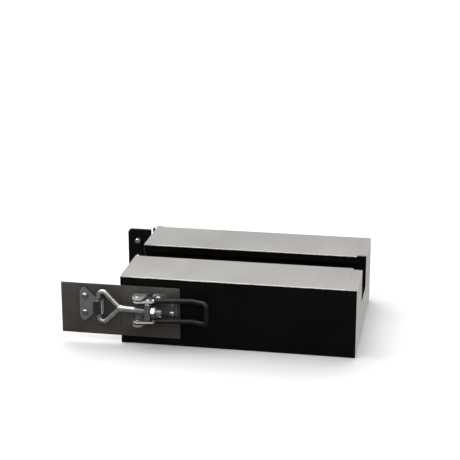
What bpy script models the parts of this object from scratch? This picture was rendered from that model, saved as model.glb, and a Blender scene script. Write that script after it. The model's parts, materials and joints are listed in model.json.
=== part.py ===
"""The swing-away end of a lathe bed: hinged at the rear and held shut by a toggle latch.

+X runs along the bed from the joint face to the outer end, -Y is the front, +Z is up.
The origin is on the joint face, in the centre plane, halfway up the band under the notch.
"""
import math

import bmesh
import bpy
from mathutils import Vector

# Bed, metres.
BED_LENGTH = 0.250
BED_HEIGHT = 0.075
RAIL_WIDTH = 0.068
SLOT_WIDTH = 0.040
NOTCH_WIDTH = 0.050
NOTCH_DEPTH = 0.038
END_PLATE = 0.010
FLANGE = 0.009
LIP_STEP = 0.001
OUTER_WEB = 0.008
INNER_WEB = 0.007
TIE_THICK = 0.008
TIE_HEIGHT = 0.030
TIE_RISE = 0.003
PIN_RADIUS = 0.004
PIN_STAND = 0.009
PIN_TIP = 0.0022
PIN_NOSE = 0.0045
NOTCH_CORNER = 0.0025
EDGE = 0.0006

# Latch, metres: X from the joint, OUT from the bed's side, up and down from the latch's axis.
AXIS_DROP = 0.0325
PAD_THICK = 0.0015
PAD_LENGTH = 0.064
PAD_RISE = 0.0225
PAD_FALL = 0.034
SHEET = 0.002
HINGE_X = 0.0225
HINGE_OUT = 0.0153
LEVER_LEAN = math.radians(9.3)
CRANK = 0.01115
WIRE_X = -0.022
WIRE_OUT = 0.0070
WIRE_RADIUS = 0.0024
LOOP_HALF = 0.0165
LOOP_STRAIGHT = 0.0070
LOOP_LENGTH = 0.0235
LOOP_CORNER = 0.0045
STEM_RADIUS = 0.0032
STEM_LENGTH = 0.0170
STEM_NOSE = 0.0023
LEGS_APART = 0.0019
THREAD_RADIUS = 0.0030
THREAD_BEYOND = 0.0143
THREAD_CHAMFER = 0.00075
BASE_LEFT = 0.0175
BASE_RIGHT = 0.0620
BASE_HALF = 0.0160
TONGUE_HALF = 0.0105
EAR_RIGHT = 0.0319
LOBE_LEFT = 0.0354
LOBE_RIGHT = 0.0488
EAR_RADIUS = 0.0058
EAR_SWEEP = math.radians(160)
CHEEK_OFFSET = 0.0113
CHEEK_HALF = 0.0048
CHEEK_LENGTH = 0.0170
ARM_LENGTH = 0.0565
ARM_REACH = 0.0725
ARM_RISE = 0.0090
ARM_CORNER = 0.0050
CORE_RADIUS = 0.0017
GRIP_BORE = 0.0020
GRIP_RADIUS = 0.0027
GRIP_START = 0.0205
BLOCK_WIDTH = 0.0063
BLOCK_DEPTH = 0.0100
BLOCK_HALF = 0.0092
BLOCK_EDGE = 0.00125
JOURNAL_RADIUS = 0.0022
RIVET_RADIUS = 0.0025
RIVET_HEAD = 0.0036
RIVET_DOME = 0.0015
NUT_FLATS = 0.0100
NUT_THICK = 0.0050
SCREW_RADIUS = 0.0020
SCREW_HEAD = 0.0032
SCREW_DOME = 0.0022
SCREW_DEPTH = 0.0070
CATCH_LEFT = -0.0435
CATCH_HALF = 0.0185
CATCH_SCREW_X = -0.0380
CATCH_SCREW_RISE = 0.0093
CATCH_TAPER_X = -0.0265
HOOK_HALF = 0.0071
HOOK_BACK = -0.0172
HOOK_KNEE = 0.0112
HOOK_TIP_X = -0.0262
HOOK_TIP_OUT = 0.0158
BASE_SCREWS = ((0.0422, 0.0108), (0.0566, 0.0053))

# Hinge, metres: X from the pin, Z from the pin's middle.
HINGE_STAND = 0.0090
LEAF_THICK = 0.0050
LEAF_NEAR = 0.0088
LEAF_FAR = 0.0360
LEAF_HALF = 0.0320
LEAF_CORNER = 0.0040
LEAF_SCREW_X = 0.0230
LEAF_SCREWS = (-0.0200, 0.0, 0.0200)
LEAF_SCREW_RADIUS = 0.0030
LEAF_SCREW_HEAD = 0.0058
LEAF_SCREW_DEPTH = 0.0075
NECK_START = 0.0010
KNUCKLE_RADIUS = 0.0080
KNUCKLE_SPLIT = 0.0110
HINGE_PIN_RADIUS = 0.0040
HINGE_PIN_HEAD = 0.0062
HINGE_PIN_CAP = 0.0020

# Points down a screw's or a rivet's head: (share of its radius, share of its height).
PAN = ((0.6, 0.9), (1.0, 0.45))
DOME = ((0.6, 0.85), (1.0, 0.2))

# Fits and facets.
GAP = 0.0003
ROUND = 12
ARC = 4
WELD = 0.00001
SHARP = math.radians(50)

# Worked out from the above.
HALF_WIDTH = RAIL_WIDTH + SLOT_WIDTH / 2
TOP = NOTCH_DEPTH + (BED_HEIGHT - NOTCH_DEPTH) / 2
BOTTOM = TOP - BED_HEIGHT
AXIS_Z = TOP - AXIS_DROP
HINGE_Z = (TOP + BOTTOM) / 2
BASE_OUT = GAP + PAD_THICK + GAP
SCREW_SEAT = BASE_OUT + SHEET + GAP
PIN_X = HINGE_X + CRANK * math.cos(LEVER_LEAN)
PIN_OUT = HINGE_OUT - CRANK * math.sin(LEVER_LEAN)
BAIL_LEAN = math.atan2(PIN_OUT - WIRE_OUT, PIN_X - WIRE_X)
BAIL_LENGTH = math.hypot(PIN_OUT - WIRE_OUT, PIN_X - WIRE_X)
BORE_RADIUS = THREAD_RADIUS + GAP
UPRIGHT = (math.pi / 2, 0, 0)
CROSSWISE = (math.pi / 2, 0, math.pi / 2)
ALONG = (0, math.pi / 2, 0)
OUTWARD = (-math.pi / 2, 0, 0)

for old in list(bpy.data.objects):
    bpy.data.objects.remove(old, do_unlink=True)

PARTS = bpy.data.collections.new("lathe_bed_extension")
CUTTERS = bpy.data.collections.new("cutters")
bpy.context.scene.collection.children.link(PARTS)
bpy.context.scene.collection.children.link(CUTTERS)


def material(name, colour, roughness, metallic):
    """A plain Principled material."""
    made = bpy.data.materials.new(name)
    made.use_nodes = True
    shader = made.node_tree.nodes["Principled BSDF"]
    shader.inputs["Base Color"].default_value = (*colour, 1)
    shader.inputs["Roughness"].default_value = roughness
    shader.inputs["Metallic"].default_value = metallic
    return made


BLACK = (0.010, 0.010, 0.009)
BARE = (0.46, 0.455, 0.44)
ZINC = (0.60, 0.60, 0.58)
DARK = (0.055, 0.050, 0.046)


def finish(made, name, look, parent=None, at=(0, 0, 0), turn=(0, 0, 0)):
    """Names an object, gives it a material of its own and puts it in its place."""
    colour, roughness, metallic = look
    made.name = name
    made.data.name = name
    made.data.materials.clear()
    made.data.materials.append(material(name, colour, roughness, metallic))
    made.parent = parent
    made.location = at
    made.rotation_euler = turn
    return made


def tool(made, parent=None, at=(0, 0, 0), turn=(0, 0, 0)):
    """Puts an object among the cutters."""
    PARTS.objects.unlink(made)
    CUTTERS.objects.link(made)
    made.name = "cutter"
    made.hide_render = True
    made.display_type = "WIRE"
    made.parent = parent
    made.location = at
    made.rotation_euler = turn
    return made


def combine(made, other, operation):
    """Adds an exact Boolean with another object."""
    step = made.modifiers.new(operation.lower(), "BOOLEAN")
    step.operation = operation
    step.solver = "EXACT"
    step.object = other


def soften(made, width):
    """Bevels the sharp edges."""
    step = made.modifiers.new("edges", "BEVEL")
    step.width = width
    step.segments = 1
    step.limit_method = "ANGLE"
    step.angle_limit = SHARP


def mesh_object(mesh):
    """An object in the parts collection."""
    made = bpy.data.objects.new(mesh.name, mesh)
    PARTS.objects.link(made)
    return made


def solid_from_curve(curve):
    """Turns a curve into a welded mesh object."""
    drawn = bpy.data.objects.new("drawn", curve)
    PARTS.objects.link(drawn)
    graph = bpy.context.evaluated_depsgraph_get()
    mesh = bpy.data.meshes.new_from_object(drawn.evaluated_get(graph))
    bpy.data.objects.remove(drawn, do_unlink=True)
    work = bmesh.new()
    work.from_mesh(mesh)
    bmesh.ops.remove_doubles(work, verts=work.verts, dist=WELD)
    bmesh.ops.recalc_face_normals(work, faces=work.faces)
    work.to_mesh(mesh)
    work.free()
    return mesh_object(mesh)


def add_spline(curve, points, cyclic):
    """A straight-edged spline through the given points."""
    spline = curve.splines.new("POLY")
    spline.points.add(len(points) - 1)
    for knot, point in zip(spline.points, points):
        knot.co = (*Vector(point).to_3d(), 1)
    spline.use_cyclic_u = cyclic


def outline(loops, depth):
    """A flat outline, any further loops being holes, extruded half of depth each way along Z."""
    curve = bpy.data.curves.new("outline", "CURVE")
    curve.dimensions = "2D"
    curve.fill_mode = "BOTH"
    curve.extrude = depth / 2
    for loop in loops:
        add_spline(curve, loop, True)
    return solid_from_curve(curve)


def rod(points, radius):
    """A round bar along a path, with closed ends."""
    curve = bpy.data.curves.new("rod", "CURVE")
    curve.dimensions = "3D"
    curve.fill_mode = "FULL"
    curve.bevel_depth = radius
    curve.bevel_resolution = 2
    curve.use_fill_caps = True
    add_spline(curve, points, False)
    return solid_from_curve(curve)


def lathe(profile):
    """Turns a profile of (radius, height), run from the top down, about Z."""
    mesh = bpy.data.meshes.new("lathe")
    points = [(radius, 0, height) for radius, height in profile]
    edges = [(n, n + 1) for n in range(len(points) - 1)]
    mesh.from_pydata(points, edges, [])
    made = mesh_object(mesh)
    step = made.modifiers.new("turn", "SCREW")
    step.angle = 2 * math.pi
    step.steps = ROUND
    step.render_steps = ROUND
    step.use_merge_vertices = True
    step.merge_threshold = WELD
    return made


def cylinder(radius, low, high):
    """A round bar along Z from low to high."""
    return lathe([(0, high), (radius, high), (radius, low), (0, low)])


def block(size):
    """A box centred on its origin."""
    mesh = bpy.data.meshes.new("block")
    work = bmesh.new()
    bmesh.ops.create_cube(work, size=1)
    bmesh.ops.scale(work, vec=size, verts=work.verts)
    work.to_mesh(mesh)
    work.free()
    return mesh_object(mesh)


def rounded(points, radii, closed):
    """The path with its corners replaced by arcs."""
    path = [Vector(point).to_3d() for point in points]
    out = []
    for n, corner in enumerate(path):
        radius = radii[n]
        if radius == 0 or (not closed and n in (0, len(path) - 1)):
            out.append(corner)
            continue
        back = (path[n - 1] - corner).normalized()
        ahead = (path[(n + 1) % len(path)] - corner).normalized()
        half = back.angle(ahead) / 2
        centre = corner + (back + ahead).normalized() * radius / math.sin(half)
        reach = radius / math.tan(half)
        first = (corner + back * reach - centre).normalized()
        last = (corner + ahead * reach - centre).normalized()
        out.extend(centre + first.slerp(last, k / ARC) * radius for k in range(ARC + 1))
    return out


def circle(x, y, radius):
    """A closed ring of points."""
    turns = [2 * math.pi * k / ROUND for k in range(ROUND)]
    return [(x + radius * math.cos(a), y + radius * math.sin(a)) for a in turns]


# ---- the bed ----

def end_section():
    """The end plates' outline in Y and Z, with the notch that the slot runs out through."""
    notch = NOTCH_WIDTH / 2
    floor = TOP - NOTCH_DEPTH
    points = [(-HALF_WIDTH, BOTTOM), (HALF_WIDTH, BOTTOM), (HALF_WIDTH, TOP), (notch, TOP),
              (notch, floor), (-notch, floor), (-notch, TOP), (-HALF_WIDTH, TOP)]
    return rounded(points, [0, 0, 0, 0, NOTCH_CORNER, NOTCH_CORNER, 0, 0], True)


def end_plate(name, x, holes):
    """A ground steel plate that closes one end of the bed."""
    made = outline([end_section(), *holes], END_PLATE)
    soften(made, EDGE)
    return finish(made, name, (BARE, 0.35, 0.9), at=(x + END_PLATE / 2, 0, 0), turn=CROSSWISE)


def rail_section(side):
    """A rail's section: a thick flange on top, an outer web and a set-back inner web."""
    flange = TOP - FLANGE
    ceiling = flange - LIP_STEP
    web = HALF_WIDTH - OUTER_WEB
    inner = NOTCH_WIDTH / 2
    points = [(HALF_WIDTH, BOTTOM), (HALF_WIDTH, TOP), (SLOT_WIDTH / 2, TOP),
              (SLOT_WIDTH / 2, flange), (inner, flange), (inner, BOTTOM),
              (inner + INNER_WEB, BOTTOM), (inner + INNER_WEB, ceiling), (web, ceiling), (web, BOTTOM)]
    radii = [EDGE, EDGE, EDGE, EDGE, 0, 0, 0, 0, 0, 0]
    return rounded([(side * y, z) for y, z in points], radii, True)


def rail(name, side, holes):
    """One way of the bed, with holes of (x, z, radius) through its side."""
    length = BED_LENGTH - 2 * (END_PLATE + GAP)
    made = outline([rail_section(side)], length)
    finish(made, name, (BLACK, 0.4, 0.0), at=(BED_LENGTH / 2, 0, 0), turn=CROSSWISE)
    for x, z, radius in holes:
        drill = cylinder(radius, -2 * OUTER_WEB, 2 * OUTER_WEB)
        tool(drill, at=(x, side * HALF_WIDTH, z), turn=UPRIGHT)
        combine(made, drill, "DIFFERENCE")
    return made


def tie(name, x):
    """A cross plate that joins the two inner webs below the slot."""
    made = block((TIE_THICK, NOTCH_WIDTH - 2 * GAP, TIE_HEIGHT))
    soften(made, EDGE)
    return finish(made, name, (BLACK, 0.5, 0.0), at=(x, 0, BOTTOM + TIE_RISE + TIE_HEIGHT / 2))


def locating_pin(name, y):
    """A pin with a tapered nose that stands out of the joint face."""
    depth = END_PLATE - GAP
    shoulder = PIN_NOSE - PIN_STAND
    made = lathe([(0, depth), (PIN_RADIUS, depth), (PIN_RADIUS, shoulder),
                  (PIN_TIP, -PIN_STAND), (0, -PIN_STAND)])
    return finish(made, name, (BARE, 0.25, 1.0), at=(0, y, 0), turn=ALONG)


def build_bed():
    """The fabricated bed."""
    pin_y = -(NOTCH_WIDTH + RAIL_WIDTH) / 2
    end_plate("joint_end_plate", 0, [circle(pin_y, 0, PIN_RADIUS + GAP)])
    end_plate("outer_end_plate", BED_LENGTH - END_PLATE, [])
    latch_holes = [(x, AXIS_Z + way * z, SCREW_RADIUS + GAP) for x, z in BASE_SCREWS for way in (1, -1)]
    hinge_holes = [(LEAF_SCREW_X, HINGE_Z + z, LEAF_SCREW_RADIUS + GAP) for z in LEAF_SCREWS]
    rail("front_rail", -1, latch_holes)
    rail("rear_rail", 1, hinge_holes)
    tie("cross_tie_inner", BED_LENGTH / 3)
    tie("cross_tie_outer", 2 * BED_LENGTH / 3)
    locating_pin("locating_pin", pin_y)


# ---- the latch, in a frame of its own: X along the bed, -Y out, Z up from the latch's axis ----

def pad(name, hub, left, screws):
    """A thin backing plate under the latch's base or its catch."""
    holes = [circle(x, z, SCREW_RADIUS + GAP) for x, z in screws]
    right = left + PAD_LENGTH
    sheet = [(left, -PAD_FALL), (right, -PAD_FALL), (right, PAD_RISE), (left, PAD_RISE)]
    made = outline([sheet, *holes], PAD_THICK)
    return finish(made, name, (DARK, 0.45, 0.6), hub, (0, -GAP - PAD_THICK / 2, 0), UPRIGHT)


def base_outline():
    """The base's plate: square under the ears, round lobes for two screws, then a tongue."""
    half = [(BASE_LEFT, BASE_HALF), (EAR_RIGHT, BASE_HALF), (EAR_RIGHT, BASE_HALF - 2 * SHEET),
            (LOBE_LEFT, BASE_HALF - 2 * SHEET), (LOBE_LEFT, BASE_HALF), (LOBE_RIGHT, BASE_HALF),
            (LOBE_RIGHT + 2 * SHEET, TONGUE_HALF), (BASE_RIGHT, TONGUE_HALF)]
    radii = [0, 0, 0, 0, 2 * SHEET, 2 * SHEET, 0, 2 * SHEET]
    points = half + [(x, -z) for x, z in reversed(half)]
    return rounded(points, radii + radii[::-1], True)


def ear_outline():
    """An ear, tapering out from the bed to a round end about its rivet."""
    inner = BASE_OUT + SHEET / 2
    arc = []
    for k in range(2 * ARC + 1):
        turn = math.pi - EAR_SWEEP * k / (2 * ARC)
        arc.append((HINGE_X + EAR_RADIUS * math.cos(turn), -HINGE_OUT - EAR_RADIUS * math.sin(turn)))
    return [(HINGE_X - EAR_RADIUS, -inner), *arc, (EAR_RIGHT, -inner)]


def latch_base(name, hub, screws):
    """The zinc-plated base: a plate with two ears folded out."""
    holes = [circle(x, z, SCREW_RADIUS + GAP) for x, z in screws]
    made = outline([base_outline(), *holes], SHEET)
    finish(made, name, (ZINC, 0.3, 1.0), hub, (0, -BASE_OUT - SHEET / 2, 0), UPRIGHT)
    for way in (1, -1):
        ear = outline([ear_outline(), circle(HINGE_X, -HINGE_OUT, RIVET_RADIUS + GAP)], SHEET)
        tool(ear, hub, (0, 0, way * (BASE_HALF - SHEET / 2)))
        combine(made, ear, "UNION")
    return made


def rivet(name, hub, way):
    """A stub rivet that joins an ear to a cheek of the lever."""
    inner = CHEEK_OFFSET - SHEET / 2 - GAP
    outer = BASE_HALF + GAP
    head = [(RIVET_HEAD * a, outer + RIVET_DOME * b) for a, b in DOME]
    made = lathe([(0, outer + RIVET_DOME), *head, (RIVET_HEAD, outer), (RIVET_RADIUS, outer),
                  (RIVET_RADIUS, inner), (RIVET_HEAD, inner), (RIVET_HEAD, inner - RIVET_DOME),
                  (0, inner - RIVET_DOME)])
    turn = (0, 0, 0) if way > 0 else (math.pi, 0, 0)
    return finish(made, name, (ZINC, 0.3, 1.0), hub, (HINGE_X, -HINGE_OUT, 0), turn)


def screw(name, hub, x, z):
    """A pan-head screw through a base or a catch into the bed's side."""
    head = [(SCREW_HEAD * a, SCREW_DOME * b) for a, b in PAN]
    end = -SCREW_SEAT - SCREW_DEPTH
    made = lathe([(0, SCREW_DOME), *head, (SCREW_HEAD, 0), (SCREW_RADIUS, 0),
                  (SCREW_RADIUS, end), (0, end)])
    return finish(made, name, (ZINC, 0.3, 1.0), hub, (x, -SCREW_SEAT, z), UPRIGHT)


def cheek_outline():
    """A cheek of the lever about its rivet, closed by a round end."""
    arc = []
    for k in range(2 * ARC + 1):
        turn = math.radians(90 + 180 * k / (2 * ARC))
        arc.append((CHEEK_HALF * math.cos(turn), CHEEK_HALF * math.sin(turn)))
    tail = CHEEK_HALF / 2
    return [*arc, (CHEEK_LENGTH, -CHEEK_HALF), (CHEEK_LENGTH + tail, -tail),
            (CHEEK_LENGTH + tail, tail), (CHEEK_LENGTH, CHEEK_HALF)]


def handle_path(start):
    """The handle's centre line, from one cheek round to the other, about the hinge."""
    half = [(start, 0, CHEEK_OFFSET), (ARM_LENGTH, 0, CHEEK_OFFSET), (ARM_REACH, -ARM_RISE, CHEEK_OFFSET)]
    points = half + [(x, y, -z) for x, y, z in reversed(half)]
    return rounded(points, [0, 2 * ARM_CORNER, ARM_CORNER, ARM_CORNER, 2 * ARM_CORNER, 0], False)


def lever(name, hub):
    """The lever: two flat cheeks and one round bar bent into a loop."""
    made = rod(handle_path(CHEEK_LENGTH - CHEEK_HALF / 2), CORE_RADIUS)
    finish(made, name, (ZINC, 0.3, 1.0), hub, (HINGE_X, -HINGE_OUT, 0), (0, 0, LEVER_LEAN))
    holes = [circle(0, 0, RIVET_RADIUS + GAP), circle(CRANK, 0, JOURNAL_RADIUS + GAP)]
    for way in (1, -1):
        cheek = outline([cheek_outline(), *holes], SHEET)
        tool(cheek, made, (0, 0, way * CHEEK_OFFSET))
        combine(made, cheek, "UNION")
    return made


def grip(name, hub):
    """The black sleeve over the handle."""
    made = rod(handle_path(GRIP_START), GRIP_RADIUS)
    finish(made, name, (BLACK, 0.5, 0.0), hub, (HINGE_X, -HINGE_OUT, 0), (0, 0, LEVER_LEAN))
    bore = rod(handle_path(GRIP_START - GRIP_RADIUS), GRIP_BORE)
    tool(bore, made)
    combine(made, bore, "DIFFERENCE")
    return made


def trunnion(name, hub):
    """The cross block between the cheeks, drilled for the threaded rod."""
    journal = CHEEK_OFFSET + SHEET / 2 + GAP
    head = journal + SHEET / 2
    neck = BLOCK_HALF / 2
    made = block((BLOCK_WIDTH, BLOCK_DEPTH, 2 * BLOCK_HALF))
    soften(made, BLOCK_EDGE)
    finish(made, name, (ZINC, 0.35, 1.0), hub, (PIN_X, -PIN_OUT, 0), (0, 0, -BAIL_LEAN))
    for way in (1, -1):
        end = lathe([(0, head), (JOURNAL_RADIUS, head), (JOURNAL_RADIUS + GAP * 3, journal),
                     (JOURNAL_RADIUS, journal), (JOURNAL_RADIUS, neck), (0, neck)])
        tool(end, made, turn=(0, 0, 0) if way > 0 else (math.pi, 0, 0))
        combine(made, end, "UNION")
    bore = cylinder(BORE_RADIUS, -BLOCK_DEPTH, BLOCK_DEPTH)
    tool(bore, made, turn=ALONG)
    combine(made, bore, "DIFFERENCE")
    return made


def bail(name, hub):
    """The wire loop, welded to the stem of its threaded rod."""
    far = -BAIL_LENGTH
    meet = far + LOOP_LENGTH
    half = [(meet, 0, LEGS_APART), (far + LOOP_STRAIGHT, 0, LOOP_HALF), (far, 0, LOOP_HALF)]
    points = half + [(x, y, -z) for x, y, z in reversed(half)]
    radii = [0, LOOP_CORNER, LOOP_CORNER, LOOP_CORNER, LOOP_CORNER, 0]
    made = rod(rounded(points, radii, False), WIRE_RADIUS)
    finish(made, name, (ZINC, 0.2, 1.0), hub, (PIN_X, -PIN_OUT, 0), (0, 0, -BAIL_LEAN))
    nose = meet - STEM_RADIUS
    shoulder = meet + STEM_LENGTH
    tip = THREAD_BEYOND
    bar = lathe([(0, tip), (THREAD_RADIUS - THREAD_CHAMFER, tip), (THREAD_RADIUS, tip - THREAD_CHAMFER),
                 (THREAD_RADIUS, shoulder), (STEM_RADIUS, shoulder - (STEM_RADIUS - THREAD_RADIUS)),
                 (STEM_RADIUS, meet), (STEM_NOSE, nose), (0, nose)])
    tool(bar, made, turn=ALONG)
    combine(made, bar, "UNION")
    return made


def nut(name, hub):
    """The nut that bears on the trunnion and sets the latch's pull."""
    corner = NUT_FLATS / 2 / math.cos(math.radians(30))
    turns = [math.radians(60 * k) for k in range(6)]
    hexagon = [(corner * math.cos(a), corner * math.sin(a)) for a in turns]
    made = outline([hexagon, circle(0, 0, BORE_RADIUS)], NUT_THICK)
    away = BLOCK_WIDTH / 2 + GAP + NUT_THICK / 2
    at = (PIN_X + away * math.cos(BAIL_LEAN), -PIN_OUT - away * math.sin(BAIL_LEAN), 0)
    return finish(made, name, (ZINC, 0.2, 1.0), hub, at, (0, math.pi / 2, -BAIL_LEAN))


def catch_profile():
    """The catch's side view: flat, then out in front of the wire and back over it."""
    inner = BASE_OUT
    front = HOOK_BACK - SHEET
    lean = math.atan2(HOOK_TIP_OUT - HOOK_KNEE, front - HOOK_TIP_X)
    lift = SHEET / math.cos(lean)
    points = [(CATCH_LEFT, -inner), (HOOK_BACK, -inner), (HOOK_BACK, -HOOK_KNEE - SHEET / 2),
              (HOOK_TIP_X, -HOOK_TIP_OUT - lift), (HOOK_TIP_X, -HOOK_TIP_OUT), (front, -HOOK_KNEE),
              (front, -inner - SHEET), (CATCH_LEFT, -inner - SHEET)]
    radii = [0, SHEET, SHEET, 0, 0, 0, SHEET / 4, 0]
    return rounded(points, radii, True)


def catch(name, hub, screws):
    """The catch plate and its hook."""
    half = [(CATCH_LEFT, CATCH_HALF - 2 * SHEET), (CATCH_LEFT + 2 * SHEET, CATCH_HALF),
            (CATCH_SCREW_X, CATCH_HALF), (CATCH_TAPER_X, HOOK_HALF + SHEET / 2), (0, HOOK_HALF)]
    shape = half + [(x, -z) for x, z in reversed(half)]
    holes = [circle(x, z, SCREW_RADIUS + GAP) for x, z in screws]
    made = outline([catch_profile()], 4 * CATCH_HALF)
    finish(made, name, (ZINC, 0.3, 1.0), hub)
    plan = outline([shape, *holes], 4 * CATCH_HALF)
    tool(plan, hub, turn=UPRIGHT)
    combine(made, plan, "INTERSECT")
    return made


def build_latch():
    """The latch and its catch."""
    hub = bpy.data.objects.new("latch_hub", None)
    PARTS.objects.link(hub)
    hub.location = (0, -HALF_WIDTH, AXIS_Z)
    screws = [(x, turn * z) for x, z in BASE_SCREWS for turn in (1, -1)]
    holds = [(CATCH_SCREW_X, CATCH_SCREW_RISE), (CATCH_SCREW_X, -CATCH_SCREW_RISE)]
    pad("latch_pad", hub, 2 * GAP, screws)
    pad("catch_pad", hub, -PAD_LENGTH - 2 * GAP, holds)
    latch_base("latch_base", hub, screws)
    catch("catch", hub, holds)
    for n, (x, z) in enumerate(screws, 1):
        screw(f"base_screw_{n}", hub, x, z)
    for n, (x, z) in enumerate(holds, 1):
        screw(f"catch_screw_{n}", hub, x, z)
    rivet("upper_rivet", hub, 1)
    rivet("lower_rivet", hub, -1)
    lever("lever", hub)
    grip("grip", hub)
    trunnion("trunnion", hub)
    bail("bail", hub)
    nut("adjusting_nut", hub)


# ---- the hinge, in a frame of its own: X along the bed, Y out, Z along the pin ----

def leaf(name, hub, side, knuckles):
    """A hinge leaf; side is 1 for the leaf on the bed and -1 for the fixed one."""
    middle = LEAF_THICK / 2 - HINGE_STAND
    face = [(LEAF_NEAR, -LEAF_HALF), (LEAF_FAR, -LEAF_HALF), (LEAF_FAR, LEAF_HALF), (LEAF_NEAR, LEAF_HALF)]
    shape = rounded(face, [0, LEAF_CORNER, LEAF_CORNER, 0], True)
    holes = [circle(LEAF_SCREW_X, z, LEAF_SCREW_RADIUS + GAP) for z in LEAF_SCREWS]
    loops = [[(side * point[0], point[1]) for point in loop] for loop in (shape, *holes)]
    made = outline(loops, LEAF_THICK)
    finish(made, name, (BLACK, 0.4, 0.0), hub, (0, middle, 0), UPRIGHT)
    rim = LEAF_SCREW_HEAD + GAP
    for z in LEAF_SCREWS:
        sink = lathe([(0, GAP), (rim + GAP, GAP), (GAP, GAP - rim), (0, GAP - rim)])
        tool(sink, hub, (side * LEAF_SCREW_X, LEAF_THICK - HINGE_STAND, z), OUTWARD)
        combine(made, sink, "DIFFERENCE")
    for low, high in knuckles:
        neck = block((LEAF_NEAR, LEAF_THICK - 2 * GAP, high - low - 2 * GAP))
        tool(neck, hub, (side * (LEAF_NEAR / 2 + NECK_START), middle, (low + high) / 2))
        combine(made, neck, "UNION")
        barrel = cylinder(KNUCKLE_RADIUS, low, high)
        tool(barrel, hub)
        combine(made, barrel, "UNION")
    bore = cylinder(HINGE_PIN_RADIUS + GAP, -2 * LEAF_HALF, 2 * LEAF_HALF)
    tool(bore, hub)
    combine(made, bore, "DIFFERENCE")
    return made


def leaf_screw(name, hub, side, z):
    """A countersunk screw that holds a leaf."""
    cone = LEAF_SCREW_HEAD - LEAF_SCREW_RADIUS
    end = -LEAF_THICK - LEAF_SCREW_DEPTH
    made = lathe([(0, -GAP), (LEAF_SCREW_HEAD, -GAP), (LEAF_SCREW_RADIUS, -GAP - cone),
                  (LEAF_SCREW_RADIUS, end), (0, end)])
    at = (side * LEAF_SCREW_X, LEAF_THICK - HINGE_STAND, z)
    return finish(made, name, (ZINC, 0.3, 1.0), hub, at, OUTWARD)


def hinge_pin(name, hub):
    """The pin, with a head at each end."""
    under = LEAF_HALF + GAP
    outer = under + HINGE_PIN_CAP
    edge = HINGE_PIN_HEAD - HINGE_PIN_CAP / 2
    made = lathe([(0, outer), (edge, outer), (HINGE_PIN_HEAD, outer - HINGE_PIN_CAP / 2),
                  (HINGE_PIN_HEAD, under), (HINGE_PIN_RADIUS, under), (HINGE_PIN_RADIUS, -under),
                  (HINGE_PIN_HEAD, -under), (HINGE_PIN_HEAD, HINGE_PIN_CAP / 2 - outer),
                  (edge, -outer), (0, -outer)])
    return finish(made, name, (ZINC, 0.3, 1.0), hub)


def build_hinge():
    """The hinge at the rear corner of the joint."""
    hub = bpy.data.objects.new("hinge_hub", None)
    PARTS.objects.link(hub)
    hub.location = (0, HALF_WIDTH + GAP + HINGE_STAND, HINGE_Z)
    split = KNUCKLE_SPLIT + GAP
    leaf("bed_leaf", hub, 1, [(split, LEAF_HALF), (-LEAF_HALF, -split)])
    leaf("fixed_leaf", hub, -1, [(-KNUCKLE_SPLIT, KNUCKLE_SPLIT)])
    hinge_pin("hinge_pin", hub)
    for n, z in enumerate(LEAF_SCREWS, 1):
        leaf_screw(f"bed_leaf_screw_{n}", hub, 1, z)
        leaf_screw(f"fixed_leaf_screw_{n}", hub, -1, z)


build_bed()
build_latch()
build_hinge()
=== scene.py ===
import json
import math

import bmesh
import bpy
from mathutils import Matrix, Vector


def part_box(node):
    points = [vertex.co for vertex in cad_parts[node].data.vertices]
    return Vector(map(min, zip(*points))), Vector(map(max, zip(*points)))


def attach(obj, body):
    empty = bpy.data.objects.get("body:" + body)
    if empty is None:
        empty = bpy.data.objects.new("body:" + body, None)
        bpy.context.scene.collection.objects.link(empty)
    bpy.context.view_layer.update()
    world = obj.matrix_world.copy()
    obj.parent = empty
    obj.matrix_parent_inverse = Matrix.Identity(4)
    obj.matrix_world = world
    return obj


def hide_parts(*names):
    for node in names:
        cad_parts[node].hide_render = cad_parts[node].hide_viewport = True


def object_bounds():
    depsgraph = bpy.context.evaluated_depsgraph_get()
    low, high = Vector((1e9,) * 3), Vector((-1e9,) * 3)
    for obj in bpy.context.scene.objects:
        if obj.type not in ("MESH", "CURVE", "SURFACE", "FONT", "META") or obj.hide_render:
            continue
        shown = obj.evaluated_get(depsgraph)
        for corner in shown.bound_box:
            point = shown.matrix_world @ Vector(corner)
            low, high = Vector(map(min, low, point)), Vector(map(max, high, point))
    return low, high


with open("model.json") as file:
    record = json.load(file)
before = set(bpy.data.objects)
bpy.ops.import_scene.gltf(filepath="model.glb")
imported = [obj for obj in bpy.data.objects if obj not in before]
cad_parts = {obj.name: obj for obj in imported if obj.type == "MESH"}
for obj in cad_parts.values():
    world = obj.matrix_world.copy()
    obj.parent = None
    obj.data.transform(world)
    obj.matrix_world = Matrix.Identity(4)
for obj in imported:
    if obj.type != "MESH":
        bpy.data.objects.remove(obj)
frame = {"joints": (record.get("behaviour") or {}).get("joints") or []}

CAD_LOW, CAD_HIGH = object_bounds()
JOINTS = {joint["name"]: joint for joint in frame["joints"]}

# Sizes of the shapes, metres. Places come from the frame's boxes and joints.
GAP = 0.0003
SHEET = 0.002
BEND = 0.0026
PAD_THICK = 0.0015
PAD_CORNER = 0.0008
BASE_OUT = GAP + PAD_THICK + GAP
SEAT = BASE_OUT + SHEET + GAP
NOTCH_WIDTH = 0.050
NOTCH_CORNER = 0.0025
SLOT_WIDTH = 0.040
FLANGE = 0.009
LIP_STEP = 0.001
OUTER_WEB = 0.008
INNER_WEB = 0.007
SEAM = 0.00004
BASE_LEFT = 0.0175
BASE_RIGHT = 0.0620
BASE_HALF = 0.0160
TONGUE_HALF = 0.0105
EAR_RIGHT = 0.0319
EAR_RADIUS = 0.0057
EAR_SWEEP = math.radians(160)
LOBE_LEFT = 0.0354
LOBE_RIGHT = 0.0488
CHEEK_OFFSET = 0.0113
CHEEK_HALF = 0.0048
CHEEK_LENGTH = 0.0150
CRANK = 0.01115
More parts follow.
